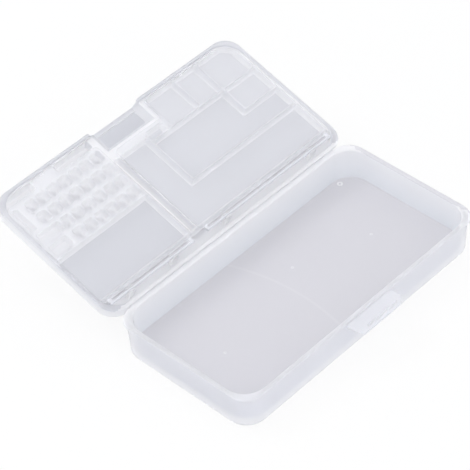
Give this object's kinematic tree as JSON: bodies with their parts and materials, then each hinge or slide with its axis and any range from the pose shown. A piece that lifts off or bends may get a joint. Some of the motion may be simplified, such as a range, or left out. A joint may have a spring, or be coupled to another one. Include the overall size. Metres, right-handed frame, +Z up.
{
  "type": "compartment supply box",
  "caption": "Flat hinged supply box of frosted plastic: deep plain base, shallow divided lid with cups, inner hinged covers and a front snap latch.",
  "frame": {"origin": "middle of the base's underside", "axes": "X along the hinge, +Y from the base towards the hinge and the opened lid, +Z up"},
  "size_m": [0.21, 0.2274, 0.0577],
  "materials": {
    "frosted_plastic": "frosted, slightly translucent",
    "clear_plastic": "clear, slightly milky"
  },
  "bodies": {
    "base": {"base_tray": "frosted_plastic"},
    "lid": {"lid_tray": "frosted_plastic", "hinge_web": "frosted_plastic"},
    "cover_left": {"left_cover": "clear_plastic"},
    "cover_right": {"right_cover": "clear_plastic"},
    "strap": {"latch_strap": "frosted_plastic"},
    "flap": {"latch_flap": "frosted_plastic"}
  },
  "joints": [
    {"name": "lid_hinge", "type": "hinge", "parent": "base", "child": "lid", "pos_m": [0, 0.0542, 0.02555], "axis": [-1, 0, 0], "range_deg": [-162.5, 17.5], "stiffness_Nm_per_rad": 0.06, "springref_deg": -35.35},
    {"name": "left_cover_hinge", "type": "hinge", "parent": "lid", "child": "cover_left", "pos_m": [0, 0.06328, 0.02684], "axis": [1, 0, 0], "range_deg": [0, 140]},
    {"name": "right_cover_hinge", "type": "hinge", "parent": "lid", "child": "cover_right", "pos_m": [0, 0.06328, 0.02684], "axis": [1, 0, 0], "range_deg": [0, 140]},
    {"name": "strap_crease", "type": "hinge", "parent": "base", "child": "strap", "pos_m": [0, -0.05405, 0.0246], "axis": [1, 0, 0], "range_deg": [-45, 30], "stiffness_Nm_per_rad": 0.01},
    {"name": "flap_crease", "type": "hinge", "parent": "strap", "child": "flap", "pos_m": [0, -0.05505, 0.0246], "axis": [1, 0, 0], "range_deg": [-35, 55], "stiffness_Nm_per_rad": 0.01}
  ]
}
